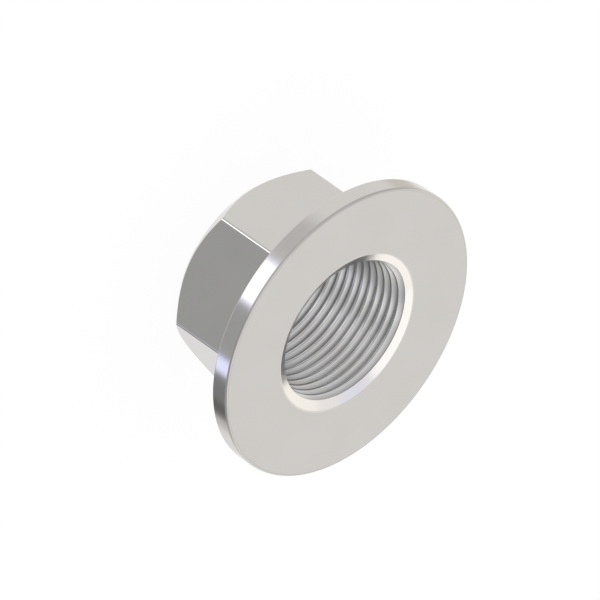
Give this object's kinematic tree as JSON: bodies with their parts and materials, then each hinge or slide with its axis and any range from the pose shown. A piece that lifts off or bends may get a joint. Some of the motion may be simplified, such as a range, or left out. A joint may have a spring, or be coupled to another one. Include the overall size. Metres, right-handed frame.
{
  "type": "hex flange nut",
  "caption": "Hex nut with a broad plain flange at one end, a chamfered hexagon and a fine threaded through bore countersunk at both mouths.",
  "frame": {"origin": "centre of the hexagon's end face, the face the nut stands on, on the bore's axis", "axes": "+Z along the bore's axis, out of the flange's bearing face; two corners of the hexagon lie on X"},
  "size_m": [0.0472, 0.0472, 0.0205],
  "materials": {
    "nut_steel": "machined and finely ground bare steel, satin on the flats and brighter on the turned edges"
  },
  "bodies": {
    "root": {"flange_nut": "nut_steel"}
  },
  "joints": []
}
